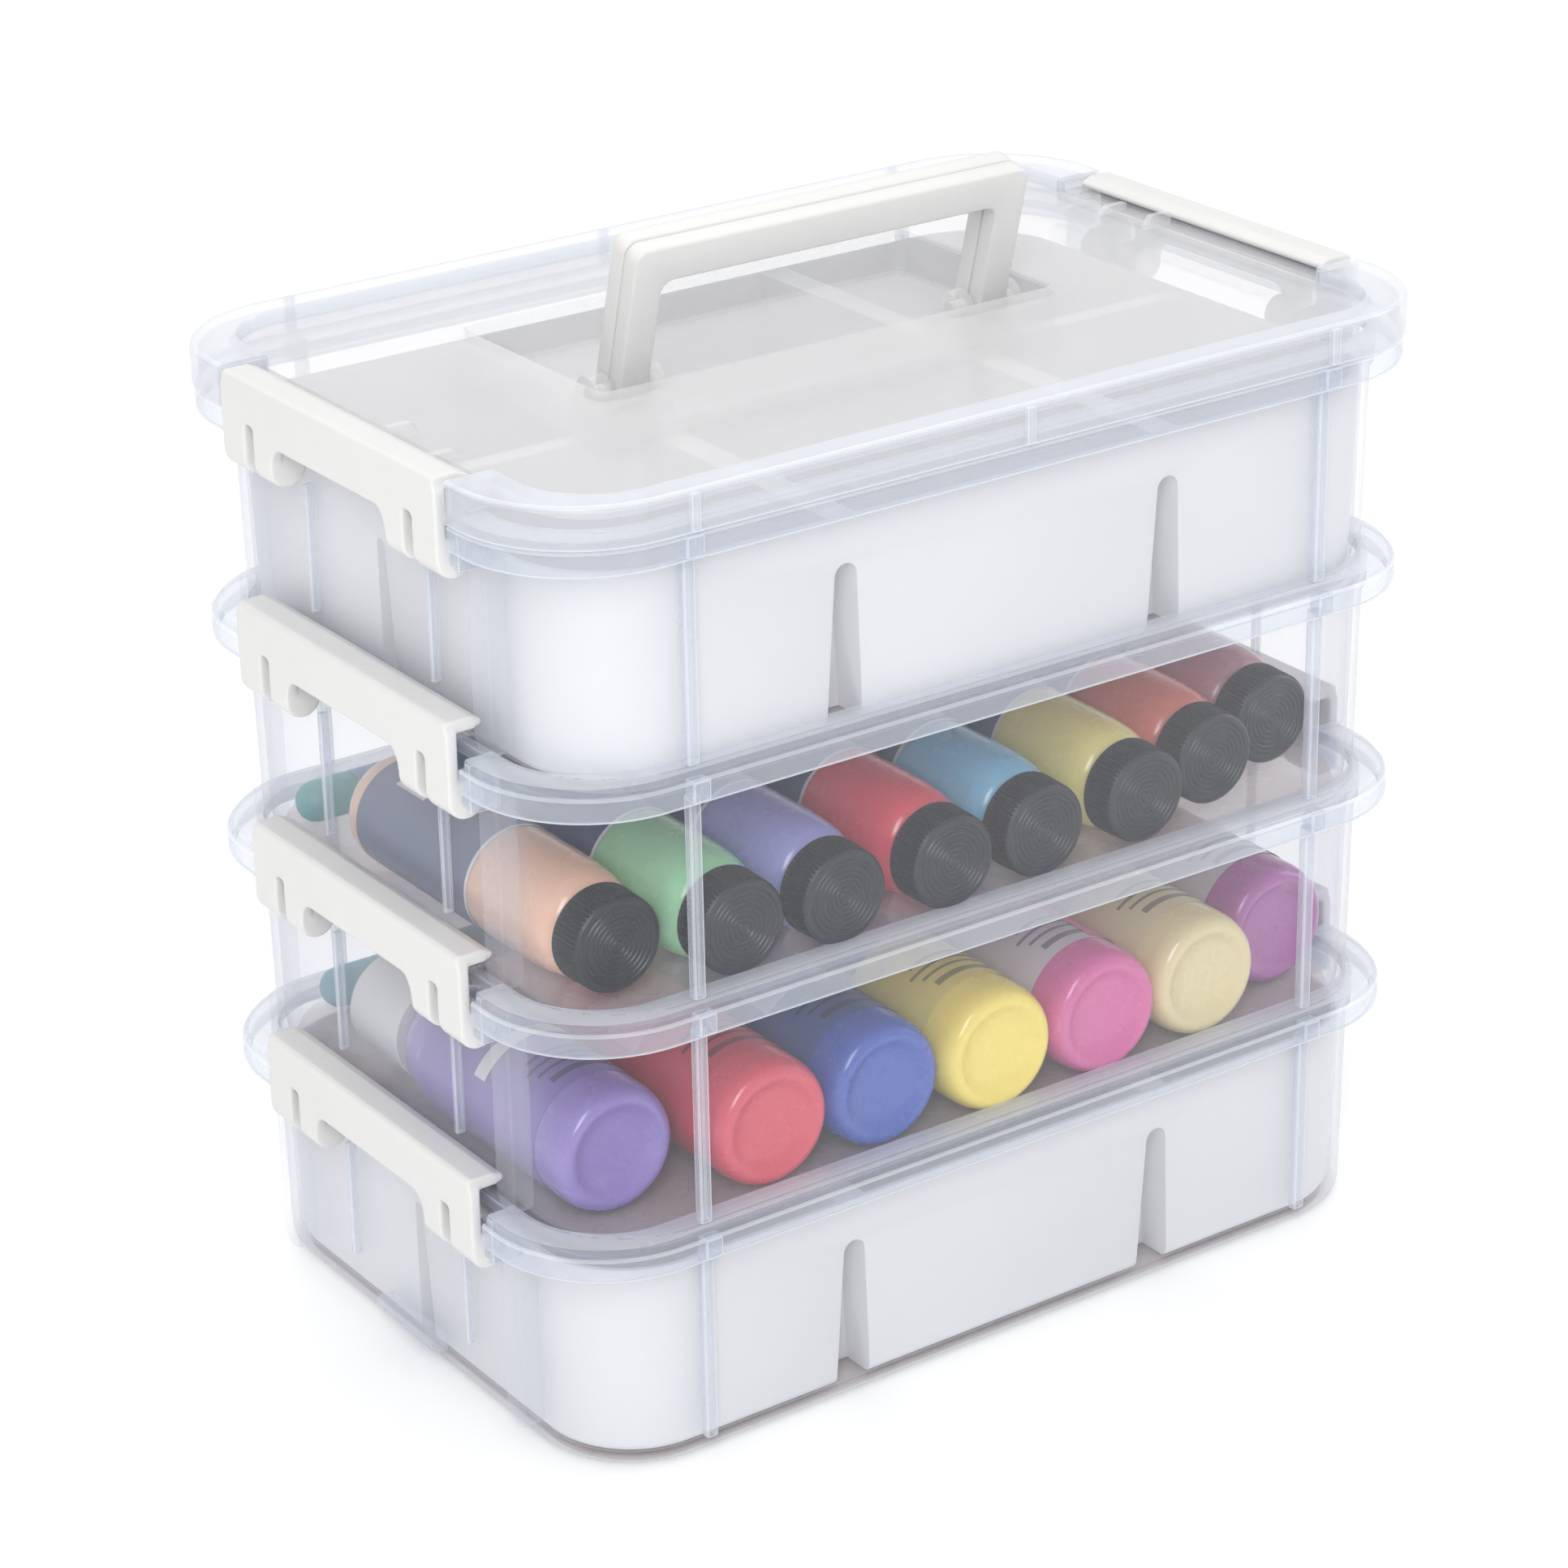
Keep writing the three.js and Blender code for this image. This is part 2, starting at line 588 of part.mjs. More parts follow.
const tray2Bottles = [
  ['peach', '#e8b89d', 10, -98], ['green', '#9fd0a6', 1, -71.4], ['lavender', '#9a9acc', 0, -44.8],
  ['red', '#e04d61', 0, -14.6], ['sky', '#84b7d6', 1, 12.1], ['lemon', '#e0d184', 2, 42.6],
  ['coral', '#cc8073', 9, 69.2], ['mauve', '#b88594', 19, 95.8],
];
const tray3Bottles = [
  ['purple', '#8c7ab8', 13, -3.3], ['scarlet', '#cc4d61', 2, 0], ['blue', '#4761ad', 2, 0],
  ['yellow', '#f2de80', 0, 0], ['magenta', '#cc6b9e', 0, 0], ['cream', '#d9cca6', 1, 0],
  ['plum', '#945c8c', 12, 0],
];

const trayInnerFront = BODY_FOOT.y - WALL - 1.3;

// tray 2: caps to the front, so each lathe is turned half round before it is put in place
tray2Bottles.forEach(([name, color, back, x]) => {
  const z = 2 * TRAY_PITCH + FLOOR + GAP + SMALL.radius;
  const capTop = -trayInnerFront + back;
  const mouth = capTop + SMALL.capDepth - SMALL.capBore + CAP_GAP;
  addNode(`bottle_${name}`, bottle(SMALL, [16, 10, 6.6]), paint(color), (g) => {
    g.rotateZ(Math.PI);
    g.translate(x, mouth + SMALL.length, z);
  });
  addNode(`cap_${name}`, cap(SMALL), CAP, (g) => {
    g.rotateZ(Math.PI);
    g.translate(x, capTop + SMALL.capDepth, z);
  });
});

// tray 3: bottle bases to the front
tray3Bottles.forEach(([name, color, back, aside], i) => {
  const x = (i - 3) * LARGE.pitch + aside;
  const z = TRAY_PITCH + FLOOR + GAP + LARGE.radius;
  const front = -trayInnerFront + 1 + back;
  addNode(`bottle_${name}`, bottle(LARGE, [24, 17, 11.6]), paint(color), (g) => {
    g.translate(x, front, z);
  });
  addNode(`cap_${name}`, cap(LARGE), WHITE, (g) => {
    g.translate(x, front + LARGE.length - LARGE.capBore + CAP_GAP, z);
  });
});

// ---------------------------------------------------------------- markers behind the bottles

const MARKER = { radius: 5, length: 70, cap: 14 };

function markerBarrel() {
  const m = MARKER;
  return lathe([
    [0, 4.4], [3.2, 4.4], [3.2, m.cap + 0.4], [m.radius, m.cap + 0.4], [m.radius, m.length - 2],
    [m.radius - 1, m.length], [0, m.length],
  ], 8);
}

function markerCap() {
  const m = MARKER;
  return lathe([
    [0, 0], [3, 0], [m.radius, 2], [m.radius, m.cap], [3.6, m.cap], [3.6, 4], [0, 4],
  ], 8);
}

for (const [name, x, y, level, barrel, tip] of [
  ['blue', -107, 58, 2, '#5f7f9e', '#2f8f8c'],
  ['teal', -99, 67, 1, '#3c8f98', '#2f7f8c'],
]) {
  const z = level * TRAY_PITCH + FLOOR + GAP + MARKER.radius;
  const lay = (g) => {
    g.rotateZ(-Math.PI / 2);
    g.translate(x, y, z);
  };
  addNode(`marker_${name}_barrel`, markerBarrel(), paint(barrel), lay);
  addNode(`marker_${name}_cap`, markerCap(), paint(tip), lay);
}

export default group;
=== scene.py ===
import math

import bmesh
import bpy
from mathutils import Matrix, Vector


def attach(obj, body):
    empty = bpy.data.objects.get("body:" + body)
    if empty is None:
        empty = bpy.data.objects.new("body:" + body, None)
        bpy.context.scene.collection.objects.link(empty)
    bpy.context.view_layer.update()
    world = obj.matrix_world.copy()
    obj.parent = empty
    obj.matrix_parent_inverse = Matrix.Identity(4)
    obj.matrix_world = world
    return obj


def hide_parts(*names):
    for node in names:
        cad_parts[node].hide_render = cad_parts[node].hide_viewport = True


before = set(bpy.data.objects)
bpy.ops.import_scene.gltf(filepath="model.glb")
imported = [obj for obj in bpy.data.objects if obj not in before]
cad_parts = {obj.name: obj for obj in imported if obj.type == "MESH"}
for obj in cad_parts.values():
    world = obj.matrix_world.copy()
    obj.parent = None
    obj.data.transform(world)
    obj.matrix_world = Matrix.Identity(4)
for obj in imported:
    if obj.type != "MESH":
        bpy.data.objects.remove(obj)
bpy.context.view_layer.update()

MM = 0.001

# ---------------------------------------------------------------- dimensions, in millimetres
# X runs along the box, -Y is its front, and Z is up from the floor. An outline is a rounded rectangle:
# half length, half width, corner radius.

TRAYS = 4  # tray_1 is on top, and the last one rides on the base
TRAY_HEIGHT = 60
TRAY_PITCH = 55
WALL = 1.9
FLOOR_TOP = 2
BED = FLOOR_TOP + 0.3  # where contents rest
BODY_FOOT = (115.8, 79, 25.5)
BODY_TOP = (117, 80, 27)
POCKET = (116.2, 79.4, 26)  # the hollow the tray above nests in
RIM = (125.3, 83.5, 30)
END_OPEN = 48  # half width of the gap that the rims leave for a latch
SIDE_RIB_X = 87.2
HINGE_X = 122.2
HINGE_Z = TRAY_HEIGHT - 10.5

LID = (125.8, 84, 30.5)
LID_TOP = 233
PANEL_TOP = LID_TOP - 3.5
BAND_INNER = (113, 76, 18)
RECESS = {"x": 63, "middle": 18, "half": 30, "floor": 219}
HANDLE_AXIS = 224.6
HANDLE_LEAN = 15


# ---------------------------------------------------------------- mesh building

def arc(cx, cy, radius, start, turn, steps, flatten=1):
    """Points round (cx, cy), from one angle through a turn, both in degrees."""
    angles = [math.radians(start + turn * i / steps) for i in range(steps + 1)]
    return [(cx + radius * math.cos(a), cy + flatten * radius * math.sin(a)) for a in angles]


def rounded(x, y, r, steps=14, cx=0, cy=0):
    """Points of a rounded rectangle of half sizes x and y, anticlockwise."""
    points = []
    for sx, sy, start in ((1, 1, 0), (-1, 1, 90), (-1, -1, 180), (1, -1, 270)):
        points += arc(cx + sx * (x - r), cy + sy * (y - r), r, start, 90, steps)
    return points


def c_path(x, y, r, side, steps=18):
    """The front (-1) or rear (1) of a rounded rectangle: end, corner, long side, corner, end."""
    points = [
        (x, END_OPEN), *arc(x - r, y - r, r, 0, 90, steps), *arc(r - x, y - r, r, 90, 90, steps), (-x, END_OPEN)]
    return [(px, side * py) for px, py in points]


def grown(outline, by):
    x, y, r = outline
    return (x + by, y + by, r + by)


def foot_levels(outline, radius, steps, base=0):
    """Levels that round a shell's foot, from its flat underside up to the full outline."""
    levels = []
    for i in range(steps + 1):
        a = math.radians(90 * i / steps)
        levels.append((base + radius * (1 - math.cos(a)), *grown(outline, -radius * (1 - math.sin(a)))))
    return levels


class Part:
    """Vertices and faces, in millimetres.

    Faces in `edges` take the second material, a brighter plastic that is painted highlight along edges; in
    `thick` the third, in `floor` the fourth.
    """

    def __init__(self):
        self.v = []
        self.f = []
        self.edges = set()
        self.thick = set()
        self.floor = set()

    def tube(self, rings, capped=True, bright=(), dense=False):
        """Closed rings of equal count, joined one to the next. Strips named in bright are edges, and take the
        painted edge highlight.
        """
        base = len(self.v)
        first = len(self.f)
        n = len(rings[0])
        for ring in rings:
            self.v.extend(ring)
        for k in range(len(rings) - 1):
            for i in range(n):
                j = (i + 1) % n
                a = base + k * n
                if i in bright:
                    self.edges.add(len(self.f))
                self.f.append((a + i, a + j, a + n + j, a + n + i))
        if capped:
            self.f.append(tuple(base + i for i in reversed(range(n))))
            self.f.append(tuple(base + (len(rings) - 1) * n + i for i in range(n)))
        if dense:
            self.thick.update(set(range(first, len(self.f))) - self.edges)
        return self

    def shell(self, levels, steps):
        """Rounded-rectangle rings, each level (z, x, y, r)."""
        return self.tube([[(px, py, z) for px, py in rounded(x, y, r, steps)] for z, x, y, r in levels])

    def sweep(self, section, side, bright=()):
        """A closed section of (outline, z) carried round the front (-1) or rear (1) of the object."""
        paths = [[(px, py, z) for px, py in c_path(*outline, side)] for outline, z in section]
        return self.tube([list(ring) for ring in zip(*paths)], bright=bright, dense=True)

    def prism(self, points, axis, a, b):
        """A closed outline carried along x or y. The outline is (y, z) or (x, z)."""
        def at(t):
            return [(t, u, w) if axis == "x" else (u, t, w) for u, w in points]
        a, b = sorted((a, b))
        return self.tube([at(a), at(b)], dense=True)

    def rod(self, axis, radius, a, b, u, w, sides=24):
        ring = [(u + radius * math.cos(math.tau * i / sides), w + radius * math.sin(math.tau * i / sides))
                for i in range(sides)]
        return self.prism(ring, axis, a, b)

    def box(self, x0, x1, y0, y1, z0, z1, soft=0.35):
        """A box with softened edges. Its rounded edge faces take the painted edge highlight, its flat faces the
        thick plastic.
        """
        bm = bmesh.new()
        bmesh.ops.create_cube(bm, size=1)
        size = Vector((abs(x1 - x0), abs(y1 - y0), abs(z1 - z0)))
        middle = Vector(((x0 + x1) / 2, (y0 + y1) / 2, (z0 + z1) / 2))
        for v in bm.verts:
            v.co = Vector([c * s for c, s in zip(v.co, size)]) + middle
        soft = min(soft, min(size) * 0.4)
        bmesh.ops.bevel(bm, geom=bm.edges[:], offset=soft, segments=2, profile=0.5, affect="EDGES")
        bm.normal_update()
        base = len(self.v)
        self.v.extend(tuple(v.co) for v in bm.verts)
        bm.verts.index_update()
        for face in bm.faces:
            flat = max(abs(c) for c in face.normal) >= 0.99
            (self.thick if flat else self.edges).add(len(self.f))
            self.f.append(tuple(base + v.index for v in face.verts))
        bm.free()
        return self

    def lathe(self, points, place, sides, wave=None):
        """Points (radius, height) turned round an axis, then placed by a function of (x, y, height)."""
        rings = []
        for k, (r, h) in enumerate(points):
            ring = []
            for i in range(sides):
                a = math.tau * i / sides
                radius = max(r, 0.01) + (wave(k, i) if wave else 0)
                ring.append(place(radius * math.cos(a), radius * math.sin(a), h))
            rings.append(ring)
        return self.tube(rings)

    def sleeve(self, radius, h0, h1, place, a0=0, a1=360, sides=48):
        """A label wrapped round a lathed part, from height h0 to h1 and from angle a0 to a1."""
        whole = a1 - a0 >= 360
        count = sides if whole else max(3, int(sides * (a1 - a0) / 360))
        row = count if whole else count + 1
        base = len(self.v)
        for h in (h0, h1):
            for i in range(row):
                a = math.radians(a0 + (a1 - a0) * i / count)
                self.v.append(place(radius * math.cos(a), radius * math.sin(a), h))
        for i in range(count):
            j = (i + 1) % row
            self.f.append((base + i, base + j, base + row + j, base + row + i))
        return self

    def mesh(self, name, smooth=35):
        mesh = bpy.data.meshes.new(name)
        mesh.from_pydata([(x * MM, y * MM, z * MM) for x, y, z in self.v], [], self.f)
        for index, faces in enumerate((self.edges, self.thick, self.floor), 1):
            for k in faces:
                mesh.polygons[k].material_index = index
        bm = bmesh.new()
        bm.from_mesh(mesh)
        bmesh.ops.recalc_face_normals(bm, faces=bm.faces[:])
        bm.to_mesh(mesh)
        bm.free()
        return softened(mesh, smooth)


def softened(mesh, angle):
    """The mesh shaded smooth, apart from edges sharper than an angle in degrees."""
    mesh.shade_smooth()
    mesh.set_sharp_from_angle(angle=math.radians(angle))
    return mesh


def applied(mesh, *modifiers, smooth=35):
    """The mesh with modifiers applied, each a (kind, settings) pair."""
    temporary = bpy.data.objects.new("temporary", mesh)
    bpy.context.scene.collection.objects.link(temporary)
    for kind, settings in modifiers:
        modifier = temporary.modifiers.new(kind, kind)
        for key, value in settings.items():
            setattr(modifier, key, value)
    depsgraph = bpy.context.evaluated_depsgraph_get()
    made = bpy.data.meshes.new_from_object(temporary.evaluated_get(depsgraph))
    made.name = mesh.name
    bpy.data.objects.remove(temporary)
    return softened(made, smooth)


def bevelled(mesh, width, segments, smooth=35):
    """The mesh with its sharp edges rounded, by a width in millimetres."""
    return applied(
        mesh,
        ("BEVEL", {"width": width * MM, "segments": segments, "limit_method": "ANGLE", "angle_limit": 0.7}),
        smooth=smooth,
    )


def boolean(mesh, tools, operation):
    """The mesh cut or crossed with each tool in turn."""
    helpers = []
    for tool in tools:
        helper = bpy.data.objects.new("tool", tool)
        bpy.context.scene.collection.objects.link(helper)
        helpers.append(helper)
    steps = [("BOOLEAN", {"object": h, "operation": operation, "solver": "EXACT"}) for h in helpers]
    made = applied(mesh, *steps)
    for helper in helpers:
        bpy.data.objects.remove(helper)
    return made


def moulded(part, name, voxel, rounds, keep):
    """Overlapping solids fused into one body with soft moulded edges."""
    return applied(
        part.mesh(name),
        ("REMESH", {"mode": "VOXEL", "voxel_size": voxel * MM}),
        ("SMOOTH", {"factor": 0.5, "iterations": rounds}),
        ("DECIMATE", {"ratio": keep}),
        smooth=60,
    )


def piece(name, mesh, material, body, replaces=(), at=(0, 0, 0)):
    """An object made from a mesh, riding on a body. One material alone covers the painted edge highlight faces
    and the thick faces too.
    """
    obj = bpy.data.objects.new(name, mesh)
    if not mesh.materials:
        for m in material if isinstance(material, tuple) else (material,) * 3:
            mesh.materials.append(m)
    bpy.context.scene.collection.objects.link(obj)
    obj.location = tuple(c * MM for c in at)
    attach(obj, body)
    if replaces:
        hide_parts(*replaces)
    return obj


# ---------------------------------------------------------------- materials

def linear(*colour):
    """Display colour to scene colour."""
    return tuple(c / 12.92 if c <= 0.04045 else ((c + 0.055) / 1.055) ** 2.4 for c in colour)


class Nodes:
    """A material's node tree, with its main shader and helpers for moulded plastic."""

    def __init__(self, name):
        self.material = bpy.data.materials.new(name)
        self.material.use_nodes = True
        self.tree = self.material.node_tree
        self.shader = self.tree.nodes["Principled BSDF"]
        self.output = self.tree.nodes["Material Output"]
        self.coords = self.add("ShaderNodeTexCoord")

    def add(self, kind, **inputs):
        node = self.tree.nodes.new(kind)
        for key, value in inputs.items():
            node.inputs[key.replace("_", " ")].default_value = value
        return node

    def link(self, a, b):
        self.tree.links.new(a, b)

    def noise(self, scale, detail=3, roughness=0.55):
        node = self.add("ShaderNodeTexNoise", Scale=scale, Detail=detail, Roughness=roughness)
        self.link(self.coords.outputs["Object"], node.inputs["Vector"])
        return node.outputs["Fac"]

    def remap(self, value, low, high, source=(0.3, 0.7)):
        """A value carried from its source range to low and high. Noise seldom leaves 0.3 to 0.7."""
        node = self.add("ShaderNodeMapRange")
        node.inputs["From Min"].default_value = source[0]
        node.inputs["From Max"].default_value = source[1]
        node.inputs["To Min"].default_value = low
        node.inputs["To Max"].default_value = high
        self.link(value, node.inputs["Value"])
        return node.outputs["Result"]

    def mixed(self, value, first, second):
        """Two colours mixed by a value. A colour mix keeps its colours in sockets 6 and 7, its result in 2."""
        node = self.add("ShaderNodeMix")
        node.data_type = "RGBA"
        self.link(value, node.inputs["Factor"])
        node.inputs[6].default_value = (*first, 1)
        node.inputs[7].default_value = (*second, 1)
        return node.outputs[2]

    def bump(self, layers):
        """Bumps laid over each other, each (height, strength, distance in metres)."""
        normal = None
        for height, strength, distance in layers:
            node = self.add("ShaderNodeBump", Strength=strength, Distance=distance)
            self.link(height, node.inputs["Height"])
            if normal:
                self.link(normal, node.inputs["Normal"])
            normal = node.outputs["Normal"]
        self.link(normal, self.shader.inputs["Normal"])

    def surface(self, first, second, rough, patch=40, grain=900, wobble=0.25, coat=0.0):
        """Colour that drifts between two tones, uneven gloss, and a fine moulded grain."""
        self.link(self.mixed(self.noise(patch), first, second), self.shader.inputs["Base Color"])
        self.link(self.remap(self.noise(patch * 3), *rough), self.shader.inputs["Roughness"])
        self.bump([
            (self.noise(patch, 2), wobble, 0.0008),
            (self.noise(grain, 2), 0.08, 0.0002),
        ])
        self.shader.inputs["Coat Weight"].default_value = coat
        self.shader.inputs["Coat Roughness"].default_value = 0.12
        return self.material


def clear_plastic(name, tint, clear, veil, rough, grain=500, power=2.2, wobble=0.12):
    """See-through moulded plastic, in display colours.

    A pale veil covers it: from the first value of `veil` where a wall faces the eye, to the second where
    the wall is seen edge-on.
    """
    n = Nodes(name)
    tone = linear(*tint)
    n.surface(tone, tuple(c * 0.96 for c in tone), rough, patch=28, grain=grain, wobble=wobble)
    n.shader.inputs["Specular IOR Level"].default_value = 1.0
    weight = n.add("ShaderNodeLayerWeight", Blend=0.5)
    bent = n.add("ShaderNodeMath")
    bent.operation = "POWER"
    bent.inputs[1].default_value = power
    n.link(weight.outputs["Facing"], bent.inputs[0])
    factor = n.remap(bent.outputs[0], *veil, (0, 1))
    see = n.add("ShaderNodeBsdfTransparent", Color=(*linear(*clear), 1))
    mix = n.add("ShaderNodeMixShader")
    n.link(factor, mix.inputs["Fac"])
    n.link(see.outputs[0], mix.inputs[1])
    n.link(n.shader.outputs[0], mix.inputs[2])
    n.link(mix.outputs[0], n.output.inputs["Surface"])
    return n.material


def plastic(name, colour, rough=(0.32, 0.48), drift=0.94, **more):
    return Nodes(name).surface(colour, tuple(c * drift for c in colour), rough, **more)


def printed(name, colour, gloss=0.42):
    """Ink on a paper or film label."""
    return plastic(name, linear(*colour), rough=(0.3, gloss), patch=80)


def paint_bottle(name, colour):
    """Semi-clear bottle wall with paint behind it: glossy, slightly milky, colour settling unevenly."""
    n = Nodes(name)
    n.surface(colour, tuple(c * 0.88 + 0.05 for c in colour), (0.2, 0.32), patch=45, wobble=0.05, coat=0.4)
    n.shader.inputs["Subsurface Weight"].default_value = 0.12
    n.shader.inputs["Subsurface Radius"].default_value = (0.002, 0.002, 0.002)
    return n.material


def knurled_cap(name, colour):
    return plastic(name, colour, rough=(0.28, 0.42), drift=1.35, patch=120, grain=5000, wobble=0.03)


CLEAR = clear_plastic(
    "clear_plastic", (0.89, 0.90, 0.93), (0.990, 0.991, 0.994), veil=(0.035, 0.6), rough=(0.12, 0.24), power=3.0)
# Painted highlight: a brighter, denser plastic laid on rounded edges and bevels, standing in for the light that
# edges catch.
EDGE_HIGHLIGHT = clear_plastic(
    "clear_plastic_painted_highlight", (0.94, 0.95, 0.975), (0.96, 0.968, 0.98), veil=(0.4, 0.8), rough=(0.15, 0.28),
    power=2.0, wobble=0.03)
THICK = clear_plastic(
    "clear_plastic_thick", (0.89, 0.905, 0.945), (0.975, 0.98, 0.988), veil=(0.21, 0.62), rough=(0.15, 0.28),
    power=2.6, wobble=0.04)
TRAY_FLOOR = clear_plastic(
    "clear_plastic_floor", (0.91, 0.87, 0.87), (0.985, 0.98, 0.98), veil=(0.3, 0.7), rough=(0.2, 0.34),
    wobble=0.03)
FROSTED = clear_plastic(
    "clear_plastic_frosted", (0.93, 0.935, 0.95), (0.985, 0.987, 0.99), veil=(0.2, 0.62), rough=(0.3, 0.44),
    grain=1400)
POLISHED = clear_plastic(
    "clear_plastic_polished", (0.955, 0.955, 0.96), (0.99, 0.99, 0.99), veil=(0.22, 0.55), rough=(0.07, 0.13),
    grain=300)
WHITE = plastic("white_plastic", linear(0.865, 0.863, 0.858))
INSERT = plastic("insert_plastic", linear(0.90, 0.90, 0.905), rough=(0.4, 0.55), patch=20)
CAP = knurled_cap("dark_cap", linear(0.055, 0.065, 0.085))
LABEL_NAVY = printed("label_navy", (0.24, 0.30, 0.46), gloss=0.4)
LABEL_WHITE = printed("label_white", (0.88, 0.88, 0.90))


# ---------------------------------------------------------------- trays

def level_base(n):
    """Height of tray n's foot."""
    return TRAY_PITCH * (TRAYS - n)


def rim_section():
    """A rim with a rounded outer lip, a small step, and a flat top the next tray stands on."""
    top = TRAY_HEIGHT
    low = top - 7.7
    section = [
        (-0.35, low), (-0.1, low + 0.5), (0, low + 1.4), (0, top - 2.7), (-0.12, top - 2.2), (-0.5, top - 1.9),
        (-1.45, top - 1.9), (-1.5, top - 0.7), (-1.7, top - 0.25), (-2.2, top), (-8.7, top), (-8.7, top - 3.3),
        (-2.6, top - 3.3), (-1.9, top - 3.9), (-1.8, low + 0.4), (-1.5, low),
    ]
    return [(grown(RIM, by), z) for by, z in section]


def tray_mesh():
    part = Part()
    top = TRAY_HEIGHT
    ledge = 54.3
    part.shell([
        *foot_levels(BODY_FOOT, 4, 5),
        (51.4, *grown(BODY_TOP, -0.2)), (53, *grown(BODY_TOP, 0.8)),
        (top - 0.4, *grown(BODY_TOP, 0.8)), (top, *grown(BODY_TOP, 0.5)),
        (top, *grown(POCKET, 0.3)), (top - 0.4, *POCKET), (ledge + 0.3, *POCKET),
        (ledge, *grown(POCKET, -0.3)), (ledge, *grown(BODY_TOP, -WALL)),
        *reversed(foot_levels(grown(BODY_FOOT, -WALL), 3, 4, FLOOR_TOP)),
    ], 18)
    part.floor = {len(part.f) - 2, len(part.f) - 1}  # the shell's two caps
    for side in (-1, 1):
        # the strips named in bright, round the rim's lips, carry the painted edge highlight
        part.sweep(rim_section(), side, bright=(0, 3, 4, 8, 9, 15))
    # a strip along the end's top, and the lug that the latch below hooks over
    lug = [(115.4, 5.4), (117.2, 5.4), (118.6, 6), (119.5, 7), (119.5, 9.2), (119.1, 9.6), (115.4, 9.6)]
    for sx in (-1, 1):
        part.box(sx * 116.4, sx * 119, -47.9, 47.9, top - 3, top)
        part.prism([(sx * x, z) for x, z in lug], "y", -12.5, 12.5)
        for sy in (-1, 1):
            # the web that closes the rim, the hinge rod and its bracket, then the post and the ribs
            part.box(sx * 116.2, sx * 123.8, sy * END_OPEN, sy * 49.8, HINGE_Z - 1.8, top - 0.9)
            part.rod("y", 1.6, sy * 25, sy * 49, sx * HINGE_X, HINGE_Z)
            part.box(sx * 116, sx * HINGE_X, sy * 33.2, sy * 34.8, HINGE_Z - 1.2, HINGE_Z + 1.2)
            post(part, sx, sy)
            side_rib(part, sx, sy)
            part.box(sx * 115.6, sx * 117.9, sy * 25.3, sy * 26.7, 14, HINGE_Z - 5.1)
    return part.mesh("tray")


def post(part, sx, sy):
    """A flat strip down the end wall beside the latch, with a round lower end and raised side edges."""
    middle, half, top = 51.2, 4.4, 53.3
    bottom = 5.3 + half
    outline = [(half, top), *arc(0, bottom, half, 0, -180, 8, 0.9), (-half, top)]
    rings = []
    for x, inset in ((116, 0), (119.7, 0), (120.4, 0.5)):
        k = (half - inset) / half
        rings.append([
            (sx * x, sy * (middle + u * k), w + (0 if w == top else (bottom - w) * (1 - k))) for u, w in outline])
    part.tube(rings)


def side_rib(part, sx, sy):
    """A rib down the long wall, and the block it ends in under the rim."""
    x = sx * SIDE_RIB_X
    part.box(x - 1.5, x + 1.5, sy * 78.6, sy * 81.2, 5.3, 53.3, soft=0.5)
    part.box(x - 2.3, x + 2.3, sy * 80.5, sy * 84.1, 52.9, 57.9, soft=0.5)


TRAY = tray_mesh()
for n in range(1, TRAYS + 1):
    piece(
        f"tray_{n}_shell", TRAY, (CLEAR, EDGE_HIGHLIGHT, THICK, TRAY_FLOOR), "base" if n == TRAYS else f"tray_{n}",
        [f"tray_{n}"], (0, 0, level_base(n)))


# ---------------------------------------------------------------- lid

def lid_band():
    """The frosted band and skirt round the front and rear, with the ribs moulded on them."""
    part = Part()
    top = LID_TOP
    low = top - 9.6
    outer = [
        (-0.3, low), (0, low + 0.5), (0, top - 1.5), (-0.25, top - 0.6), (-0.7, top - 0.15), (-1.3, top)]
    inner = [
        (0.7, top), (0.2, top - 0.15), (0, top - 0.6), (0, PANEL_TOP - 0.4), (1.6, PANEL_TOP - 0.4),
        (1.6, top - 2)]
    under = [(-1.9, top - 2), (-1.7, top - 2.4), (-1.6, low + 0.3), (-1.4, low)]
    section = [
        (grown(outline, by), z)
        for outline, points in ((LID, outer), (BAND_INNER, inner), (LID, under)) for by, z in points]
    for side in (-1, 1):
        # the strips named in bright, round the band's edges, carry the painted edge highlight
        part.sweep(section, side, bright=(0, 3, 4, 7, 8, 15))
    rib_y, rib_z = (83.2, 84.7), (223.7, 232.4)
    for sx in (-1, 1):
        for sy in (-1, 1):
            part.box(sx * 113, sx * 125, sy * END_OPEN, sy * 49.6, 225.3, 232.2)
            x = sx * SIDE_RIB_X
            part.box(x - 1.2, x + 1.2, *(sy * y for y in rib_y), *rib_z, soft=0.4)
    for sy in (-1, 1):
        part.box(-1.2, 1.2, *(sy * y for y in rib_y), *rib_z, soft=0.4)
    return part.mesh("lid_band")


